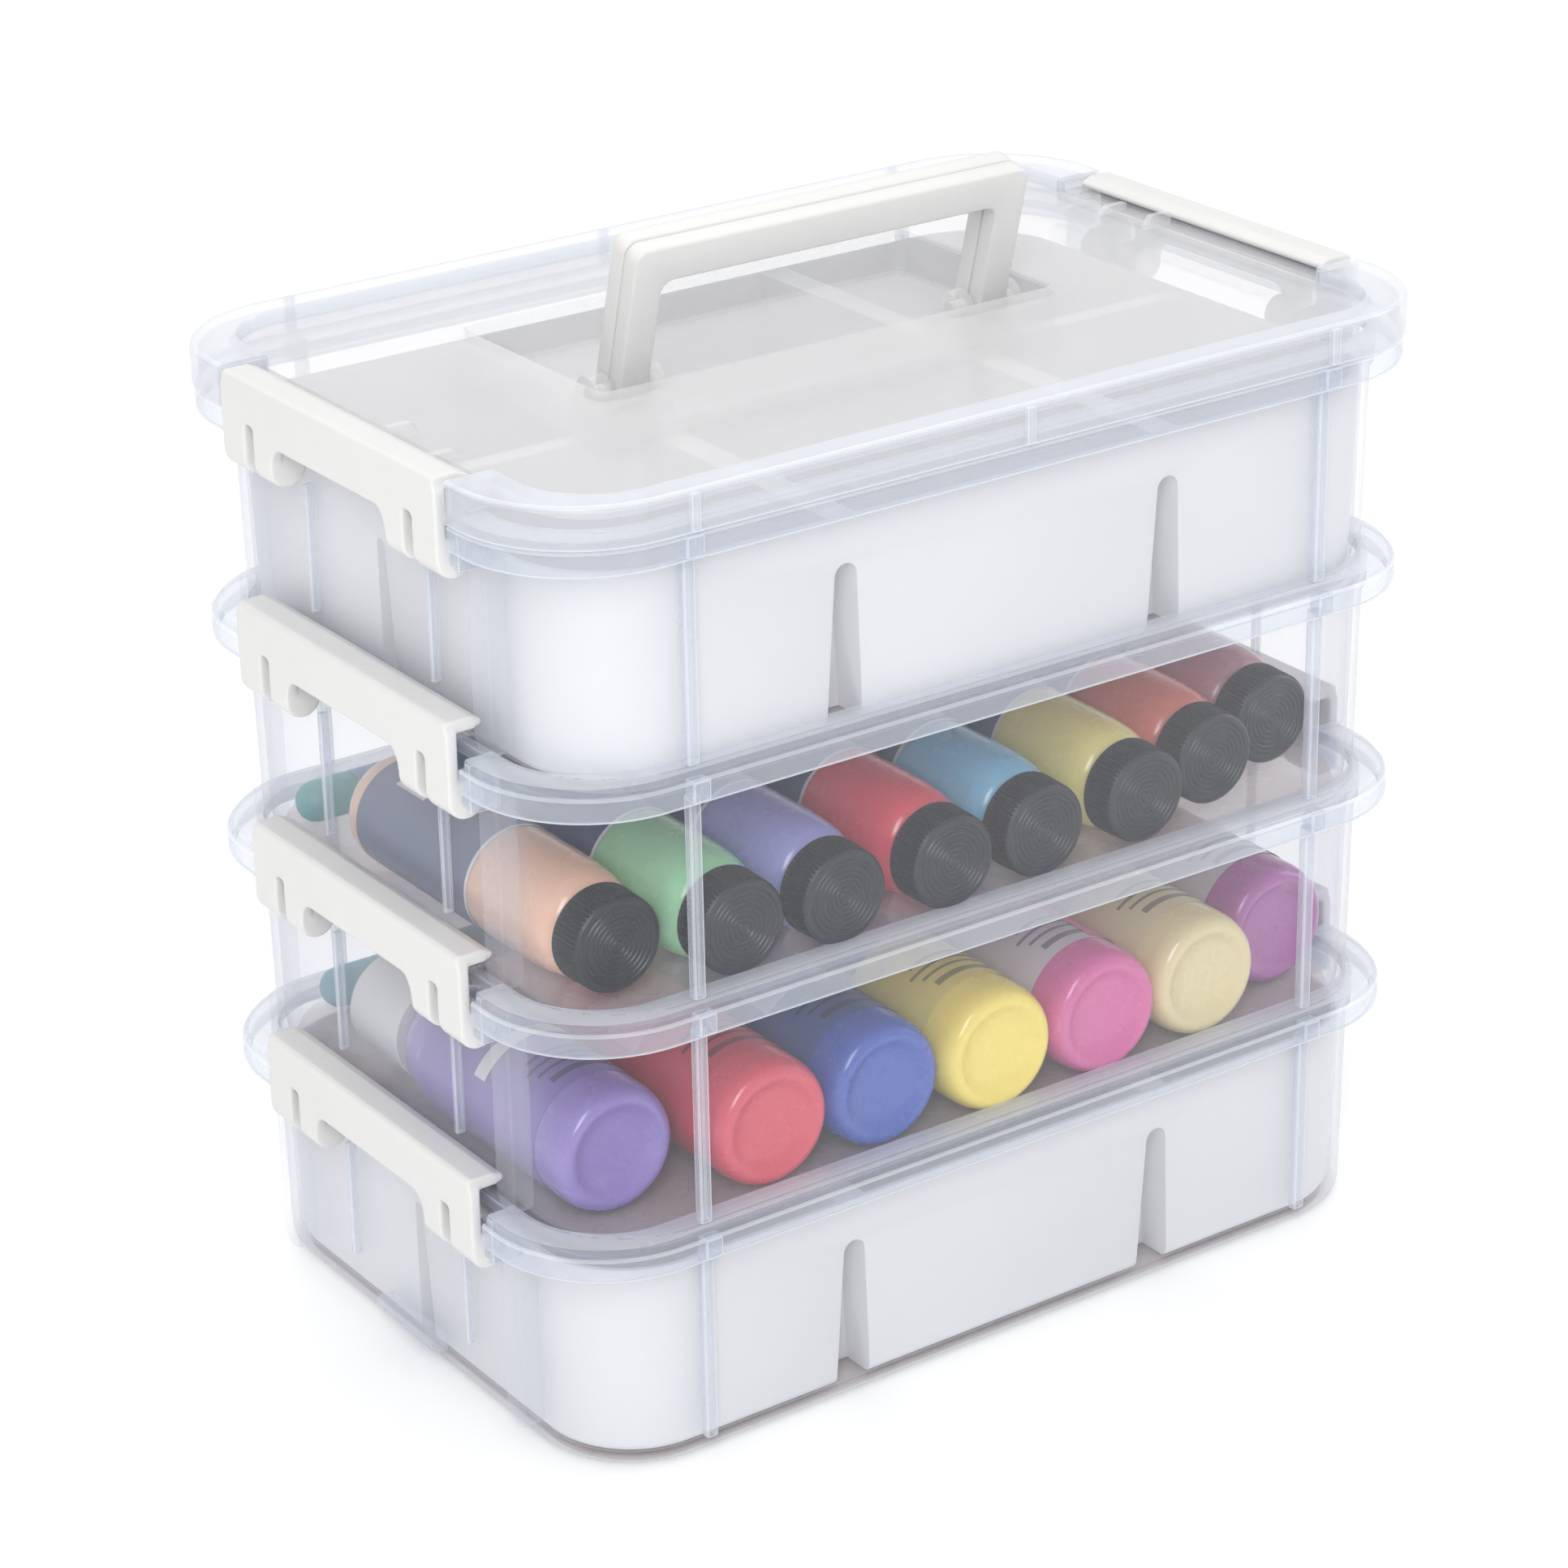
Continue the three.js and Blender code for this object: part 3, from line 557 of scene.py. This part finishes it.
def lid_panel():
    """The polished panel inside the band, with the pan the handle folds into and its hinge cheeks."""
    part = Part()
    top, floor = PANEL_TOP, RECESS["floor"]
    under = top - 2

    def pan(z, grow, radius):
        outline = rounded(RECESS["x"] + grow, RECESS["half"] + grow, radius, 14, 0, RECESS["middle"])
        return [(x, y, z) for x, y in outline]

    def edge(z):
        return [(x, y, z) for x, y in rounded(*grown(BAND_INNER, 0.8), 14)]

    part.tube([
        pan(floor - 2, -2, 3), pan(floor - 2, 1.2, 4.2), pan(floor - 1.4, 1.6, 4.6), pan(under, 1.6, 4.6),
        edge(under), edge(top), pan(top, 0.5, 3.5), pan(top - 0.4, 0.1, 3.1), pan(floor + 1.2, -0.5, 3),
        pan(floor + 0.3, -0.8, 3), pan(floor, -1.7, 3),
    ])
    shoulder = 223.4
    cheek = [
        (-7, floor - 0.2), (7, floor - 0.2), (7, 221.6), (6.4, 222.8), (5, shoulder),
        *arc(0, HANDLE_AXIS, 4.6, 0, 180, 12), (-5, shoulder), (-6.4, 222.8), (-7, 221.6)]
    for sx in (-1, 1):
        # the panel's strip out to the latch, the strip's lip, its two fins, and the hinge cheeks
        part.box(sx * 112.6, sx * 120.9, -48.4, 48.4, under, top, soft=0.3)
        part.box(sx * 119.3, sx * 121, -48.4, 48.4, 225.3, top, soft=0.4)
        for y, rise in ((10, 3), (27, 1.4)):
            crest = top + rise
            fin = [(116.4, 229.2), (116.4, crest), (111, crest), (110.2, crest - 0.4), (108.5, 229.2)]
            part.prism([(sx * x, z) for x, z in fin], "y", sx * y - 1, sx * y + 1)
        for near, far in ((41, 45.6), (55.1, 59.6)):
            part.prism(cheek, "x", sx * near, sx * far)
    return part.mesh("lid_panel")


def lid_plug():
    """The ring under the lid that sits in the top tray."""
    plug = (114.2, 77.2, 24.4)
    levels = [(221, -0.6), (222, 0), (228, 0), (228, -1.6), (221, -1.6)]
    rings = [[(x, y, z) for x, y in rounded(*grown(plug, by), 16)] for z, by in levels]
    return Part().tube([*rings, rings[0]], capped=False).mesh("lid_plug")


piece("lid_band", lid_band(), (FROSTED, EDGE_HIGHLIGHT, FROSTED), "lid", ["lid"])
piece("lid_panel", lid_panel(), (POLISHED, EDGE_HIGHLIGHT, POLISHED), "lid", ())
piece("lid_plug", lid_plug(), CLEAR, "lid", ())


# ---------------------------------------------------------------- handle

def handle_half(side):
    """The rear (1) or front (-1) half of the handle, split along its middle. The front one has the pins."""
    half, leg, height, grip, bend = 54.3, 8, 38, 9, 3.2
    gap = 0.15
    in_x, in_z = half - leg, height - grip
    outline = [
        (-half, 0), (-in_x, 0),
        *arc(-in_x + bend, in_z - bend, bend, 180, -90, 6), *arc(in_x - bend, in_z - bend, bend, 90, -90, 6),
        (in_x, 0), (half, 0),
        *arc(half - bend, height - bend, bend, 0, 90, 6), *arc(-half + bend, height - bend, bend, 90, 90, 6),
    ]
    body = bevelled(Part().prism(outline, "y", side * gap, side * 5).mesh("handle"), 0.7, 3)
    foot = [(gap, 0.3), *arc(gap, 0, 4.7, 0, -90, 10, 4.9 / 4.7)]
    part = Part()
    for sx in (-1, 1):
        part.prism([(side * y, z) for y, z in foot], "x", sx * (in_x + 0.3), sx * (half - 0.3))
        if side < 0:
            part.rod("x", 2, sx * 41.6, sx * 59, 0, 0)
    bm = bmesh.new()
    bm.from_mesh(body)
    bm.from_mesh(part.mesh("feet"))
    lean = Matrix.Rotation(math.radians(HANDLE_LEAN), 4, "X")
    bm.transform(Matrix.Translation((0, 0, HANDLE_AXIS * MM)) @ lean)
    made = bpy.data.meshes.new("handle_half")
    bm.to_mesh(made)
    bm.free()
    return softened(made, 35)


piece("handle_front", handle_half(-1), WHITE, "handle", ["handle_front_half"])
piece("handle_rear", handle_half(1), WHITE, "handle", ["handle_rear_half"])


# ---------------------------------------------------------------- latches

def latch_part():
    """A left-hand latch about its own hinge axis: plate, inward lip, and two curled feet."""
    half, outer, thick, low, top = 46, 4.5, 2.8, 15.4, 18.5
    plate = (-outer, -outer + thick)
    part = Part()
    part.prism([
        (-half, 8.2), (-half, top - 3.4), (-half + 0.8, top - 1.8), (-half + 2.6, top - 0.7),
        (half - 2.6, top - 0.7), (half - 0.8, top - 1.8), (half, top - 3.4), (half, 8.2),
    ], "x", *plate)
    part.prism([(-20, 5.8), (20, 5.8), (20, 8.8), (-20, 8.8)], "x", *plate)
    # a foot's two sheets, from the arch to the slot and from the slot to the latch's end
    inner_sheet = [
        (18, 5.8), (20.4, 5.8), (22, 5.3), (23.2, 4.2), (24, 2.6), (24.4, 0.6), (24.4, -1),
        (32.1, -1), (32.1, 7.2), (32.6, 8.1), (33.4, 8.6), (34.6, 8.6), (34.6, 9.4), (18, 9.4)]
    outer_sheet = [
        (35.9, -1), (half, -1), (half, 9.4), (33.4, 9.4), (33.4, 8.6), (34.6, 8.6), (35.4, 8.1), (35.9, 7.2)]
    for sy in (-1, 1):
        for sheet in (inner_sheet, outer_sheet):
            part.prism([(sy * y, z) for y, z in sheet], "x", *plate)
        for near, far in ((24.4, 32.1), (35.9, half)):
            part.rod("y", outer, sy * near, sy * far, 0, 0, 30)
    part.prism([
        (-outer, low - 0.6), (-1.9, low - 0.6), (-1.4, low), (3, low), (5, low + 0.9), (5, low + 1.9),
        (2.2, top), (-3.4, top), (-4.2, top - 0.4), (-outer, top - 1.2),
    ], "y", -half + 0.9, half - 0.9)
    return part


LATCH_LEFT = moulded(latch_part(), "latch_left", voxel=0.42, rounds=4, keep=0.3)
LATCH_RIGHT = LATCH_LEFT.copy()
LATCH_RIGHT.transform(Matrix.Diagonal((-1, 1, 1, 1)))
LATCH_RIGHT.flip_normals()

for n in range(1, TRAYS + 1):
    for side, mesh, x in (("left", LATCH_LEFT, -HINGE_X), ("right", LATCH_RIGHT, HINGE_X)):
        name = f"latch_{side}_{n}"
        piece(f"{name}_clip", mesh, WHITE, name, [name], (x, 0, HINGE_Z + level_base(n)))


# ---------------------------------------------------------------- organisers

def organiser_mesh():
    """Three columns by two rows of open compartments. The folds that divide them show as grooves."""
    body = Part().shell([
        *foot_levels((113, 76.2, 23), 2.5, 4), (47.4, 114.3, 77.4, 24), (48, 113.9, 77, 23.6),
    ], 16).mesh("organiser")
    room = Part().shell([
        (1.6, 108.4, 71.6, 18.4), (2.2, 110.2, 73.4, 20.2), (4.6, 111.4, 74.6, 21.4),
        (49, 112.75, 75.85, 22.45),
    ], 16).mesh("room")
    # each column's left and right walls at the foot, then at the top; outside walls come from the room
    columns = ((-120, -50.9, -120, -48.2), (-38.1, 38.1, -40.8, 40.8), (50.9, 120, 48.2, 120))
    cells = []
    for x0, x1, t0, t1 in columns:
        for sy in (-1, 1):
            levels = []
            for z, inset, k in ((1.6, 2.6, 0), (2.4, 0.8, 0.02), (4.2, 0, 0.06), (49, 0, 1)):
                left = x0 + (t0 - x0) * k + inset
                right = x1 + (t1 - x1) * k - inset
                near = 4.8 + (2.6 - 4.8) * k + inset
                far = 90
                levels.append((z, (left + right) / 2, (right - left) / 2, (near + far) / 2, (far - near) / 2))
            rings = [[(x, sy * y, z) for x, y in rounded(hx, hy, 5, 6, cx, cy)] for z, cx, hx, cy, hy in levels]
            cells.append(boolean(Part().tube(rings).mesh("cell"), [room], "INTERSECT"))

    def groove(low, high, centre=0):
        """A slot's outline: half width low at the foot, and a round top of radius high."""
        return [(centre + low, -1), *arc(centre, 34.5, high, 0, 180, 9), (centre - low, -1)]

    folds = []
    for ends in ((-100, -67), (67, 100)):
        folds += [Part().prism(groove(4.8, 2.9, s * 44.5), "y", *ends).mesh("fold") for s in (-1, 1)]
    folds += [Part().prism(groove(3.2, 1.6), "x", *ends).mesh("fold") for ends in ((-130, -104), (104, 130))]
    return boolean(boolean(body, cells, "DIFFERENCE"), folds, "DIFFERENCE")


ORGANISER = bevelled(organiser_mesh(), 0.6, 2, smooth=40)
for name, tray in (("organiser_bottom", TRAYS), ("organiser_top", 1)):
    piece(f"{name}_insert", ORGANISER, INSERT, name, [name], (0, 0, level_base(tray) + BED))


# ---------------------------------------------------------------- paint bottles

FRONT = 75.8  # how far forward a bottle reaches, before it is set back
RIDGES = 64


def cap_mesh(name, radius, place):
    """A knurled screw cap with fine rings turned on its end face; height 0 is the open end."""
    profile = [(radius - 0.3, 0), (radius, 0.3), (radius, 0.6), (radius, 0.9), (radius - 0.25, 8.0),
               (radius - 0.6, 8.5), (radius - 1.1, 8.9), (radius - 1.6, 9)]
    knurl = {3, 4}
    r = radius - 2.2
    while r > 1:
        profile += [(r, 9), (r - 0.25, 8.75), (r - 0.55, 8.75), (r - 0.8, 9)]
        r -= 1.25

    def wave(k, i):
        return (-0.38 if i % 4 in (0, 1) else 0) if k in knurl else 0

    return Part().lathe(profile, place, RIDGES * 4, wave).mesh(name, 25)


def bottle_body(name, colour, profile, place, sides, tray):
    mesh = Part().lathe(profile, place, sides).mesh(f"bottle_{name}_skin", 50)
    piece(f"bottle_{name}_body", mesh, paint_bottle(f"paint_{name}", linear(*colour)), tray,
          [f"bottle_{name}"])


def tray2_bottle(name, colour, x, back):
    """A bottle lying cap forward. Heights run up from its foot, which is at the rear."""
    tray = "tray_2"
    r, length, cap_depth, cap_roof = 13.2, 92.5, 9, 2.9
    z = level_base(2) + BED + r
    end = -FRONT + back
    foot = end + cap_roof + length

    def on_bottle(u, w, h):
        return (x - u, foot - h, z + w)

    def on_cap(u, w, h):
        return (x - u, end + cap_depth - h, z + w)

    bottle_body(name, colour, [
        (0, 1.0), (6.6, 1.0), (9.2, 0.4), (11, 0.2), (12.2, 0.9), (12.9, 2.2), (r, 4.2), (r, 56), (r, 70),
        (r - 0.15, 75), (r - 0.5, 79), (12.2, 81.6), (11.4, 83.6), (10.2, 85), (8.4, 85.8), (7.4, 86),
        (7.4, length), (0, length),
    ], on_bottle, 56, tray)
    label = Part().sleeve(r + 0.12, 6, 54, on_bottle)
    piece(f"bottle_{name}_label", label.mesh("label"), LABEL_NAVY, tray)
    edge = Part().sleeve(r + 0.16, 53.2, 54.3, on_bottle).sleeve(r + 0.16, 14, 26, on_bottle, 60, 110)
    piece(f"bottle_{name}_label_edge", edge.mesh("edge"), LABEL_WHITE, tray)
    piece(f"cap_{name}_top", cap_mesh(f"cap_{name}", 11.6, on_cap), CAP, tray, [f"cap_{name}"])


def tray3_bottle(name, colour, x, back, label_colour, patches):
    """A bottle lying foot forward. Each patch is a colour, then angles and heights on the label."""
    tray = "tray_3"
    r, length, cap_start = 15.5, 86, 75.4
    z = level_base(3) + BED + r
    front = -FRONT + 1 + back

    def on_bottle(u, w, h):
        return (x + u, front + h, z + w)

    def on_cap(u, w, h):
        return (x + u, front + cap_start + h, z + w)

    bottle_body(name, colour, [
        (0, 2.6), (5, 2.45), (8.4, 2.0), (10, 1.3), (11, 0.5), (11.9, 0.1), (12.7, 0), (13.7, 0.4), (14.6, 1.5),
        (15.2, 3.2), (r, 5.4), (r, 61), (15, 65), (13.9, 69), (12.2, 72), (10, 74), (8.7, 74.6), (8.7, length),
        (0, length),
    ], on_bottle, 64, tray)
    label = Part().sleeve(r + 0.12, 11, 60, on_bottle, sides=64)
    piece(f"bottle_{name}_label", label.mesh("label"), printed(f"label_{name}", label_colour), tray)
    print_colour = tuple(c * 0.62 for c in label_colour)
    lines = [(print_colour, 52, 118, 14.5, 16.6), (print_colour, 60, 122, 19, 20),
             (print_colour, 57, 128, 22, 23), (print_colour, 55, 120, 25, 26)]
    for k, (patch_colour, a0, a1, h0, h1) in enumerate([*lines, *patches]):
        patch = Part().sleeve(r + 0.16 + 0.03 * k, h0, h1, on_bottle, a0, a1, 64)
        piece(f"bottle_{name}_print_{k + 1}", patch.mesh("print"),
              printed(f"print_{name}_{k + 1}", patch_colour), tray)
    lid = [(12.5, 0), (12.8, 0.4), (12.8, 20.8), (12.2, 21.7), (11.4, 22), (0, 22)]
    piece(f"cap_{name}_top", Part().lathe(lid, on_cap, 48).mesh(f"cap_{name}"), WHITE, tray,
          [f"cap_{name}"])


for name, colour, x, back in (
    ("peach", (0.93, 0.75, 0.64), -98, 10), ("green", (0.62, 0.85, 0.66), -71.4, 1),
    ("lavender", (0.60, 0.60, 0.84), -44.8, 0), ("red", (0.90, 0.27, 0.35), -14.6, 0),
    ("sky", (0.50, 0.74, 0.87), 12.1, 1), ("lemon", (0.93, 0.87, 0.54), 42.6, 2),
    ("coral", (0.87, 0.47, 0.40), 69.2, 9), ("mauve", (0.76, 0.53, 0.58), 95.8, 19),
):
    tray2_bottle(name, colour, x, back)

TRAY3_PITCH = 31.3
WHITE_PRINT = (0.90, 0.90, 0.92)
for i, (name, colour, back, aside, label, patches) in enumerate((
    ("purple", (0.55, 0.47, 0.75), 13, -3.3, (0.52, 0.44, 0.72),
     [(WHITE_PRINT, 30, 150, 34, 38.5), ((0.30, 0.66, 0.66), 60, 130, 44, 58),
      ((0.90, 0.42, 0.50), 75, 118, 47, 56)]),
    ("scarlet", (0.87, 0.28, 0.36), 2, 0, (0.84, 0.28, 0.36),
     [(WHITE_PRINT, -60, -5, 12, 34), ((0.93, 0.50, 0.52), 30, 150, 36, 48)]),
    ("blue", (0.24, 0.36, 0.72), 2, 0, (0.27, 0.36, 0.60), [((0.62, 0.66, 0.80), 60, 140, 30, 44)]),
    ("yellow", (0.98, 0.89, 0.42), 0, 0, (0.92, 0.85, 0.48), [((0.45, 0.46, 0.62), 50, 150, 40, 58)]),
    ("magenta", (0.85, 0.38, 0.63), 0, 0, (0.84, 0.80, 0.83), [((0.90, 0.42, 0.62), -20, 75, 12, 44)]),
    ("cream", (0.90, 0.84, 0.64), 1, 0, (0.88, 0.83, 0.68), [((0.78, 0.75, 0.68), 60, 150, 36, 52)]),
    ("plum", (0.66, 0.34, 0.62), 12, 0, (0.80, 0.78, 0.80), [((0.66, 0.36, 0.60), -40, 60, 12, 24)]),
)):
    tray3_bottle(name, colour, (i - 3) * TRAY3_PITCH + aside, back, label, patches)


# ---------------------------------------------------------------- markers

PEN_RADIUS = 5
BARREL = [(0, 14.4), (4.6, 14.4), (5, 14.9), (5, 66.5), (4.8, 68.4), (4.2, 69.6), (3.4, 70), (0, 70)]
PEN_CAP = [(0, 0), (2.6, 0.1), (3.4, 0.6), (4.5, 2), (5, 4), (5, 13.6), (4.8, 14), (0, 14)]

for name, n, x0, y0, barrel, tip in (
    ("blue", 2, -107, 58, (0.36, 0.52, 0.68), (0.20, 0.62, 0.62)),
    ("teal", 3, -99, 67, (0.24, 0.62, 0.68), (0.20, 0.55, 0.62)),
):
    z0 = level_base(n) + BED + PEN_RADIUS

    def along(u, w, h, x0=x0, y0=y0, z0=z0):
        return (x0 + h, y0 + u, z0 + w)

    piece(f"marker_{name}_pen", Part().lathe(BARREL, along, 32).mesh("pen"),
          plastic(f"marker_{name}", linear(*barrel), patch=60), f"tray_{n}",
          [f"marker_{name}_barrel"])
    piece(f"marker_{name}_lid", Part().lathe(PEN_CAP, along, 32).mesh("pen_lid"),
          plastic(f"marker_{name}_tip", linear(*tip), patch=60), f"tray_{n}",
          [f"marker_{name}_cap"])


# ---------------------------------------------------------------- floor, light, camera

def floor():
    """A wide pale floor, a hair under the box so that the two don't share a plane."""
    half, drop = 6, 0.0002
    mesh = bpy.data.meshes.new("floor")
    mesh.from_pydata([(-half, -half, 0), (half, -half, 0), (half, half, 0), (-half, half, 0)], [], [(0, 1, 2, 3)])
    mesh.materials.append(plastic("floor", (0.97, 0.97, 0.97), rough=(0.7, 0.8), drift=0.995, patch=2))
    obj = bpy.data.objects.new("floor", mesh)
    obj.location = (0, 0, -drop)
    bpy.context.scene.collection.objects.link(obj)


def area_light(name, place, width, height, power):
    """A soft light aimed at the middle of the box, in metres and watts."""
    data = bpy.data.lights.new(name, "AREA")
    data.shape = "RECTANGLE"
    data.size = width
    data.size_y = height
    data.energy = power
    obj = bpy.data.objects.new(name, data)
    obj.location = place
    aim = Vector((0, 0, 0.12)) - Vector(place)
    obj.rotation_euler = aim.to_track_quat("-Z", "Y").to_euler()
    bpy.context.scene.collection.objects.link(obj)


def camera():
    """The photograph's viewpoint: it looks along `ahead`, past a point beside the middle of the box."""
    azimuth, elevation, roll = math.radians(-34.8), math.radians(23.76), math.radians(-1.09)
    to_right, to_top, distance = -6.48, -5.13, 1064.98
    ahead = Vector((
        -math.sin(azimuth) * math.cos(elevation), math.cos(azimuth) * math.cos(elevation), -math.sin(elevation)))
    level = ahead.cross(Vector((0, 0, 1))).normalized()
    above = level.cross(ahead)
    right = level * math.cos(roll) + above * math.sin(roll)
    up = above * math.cos(roll) - level * math.sin(roll)
    place = Vector((0, 0, 120)) + right * to_right + up * to_top - ahead * distance
    data = bpy.data.cameras.new("camera")
    data.sensor_width = 36
    data.lens = 102.35
    obj = bpy.data.objects.new("camera", data)
    turn = Matrix((right, up, -ahead)).transposed().to_4x4()
    obj.matrix_world = Matrix.Translation(place * MM) @ turn
    bpy.context.scene.collection.objects.link(obj)
    bpy.context.scene.camera = obj


def studio():
    """A white surround, and sight lines long enough to pass through every clear wall of the box."""
    world = bpy.data.worlds.new("studio")
    world.use_nodes = True
    background = world.node_tree.nodes["Background"]
    background.inputs["Color"].default_value = (1, 1, 1, 1)
    background.inputs["Strength"].default_value = 0.74
    scene = bpy.context.scene
    scene.world = world
    scene.view_settings.view_transform = "Standard"
    scene.cycles.transparent_max_bounces = 48


floor()
area_light("key", (-1.0, -1.25, 1.25), 0.5, 1.2, 18)
area_light("top", (0.2, 0.9, 1.9), 2.4, 2.0, 15)
area_light("side", (1.6, -0.5, 0.9), 0.5, 1.4, 6)
studio()
camera()
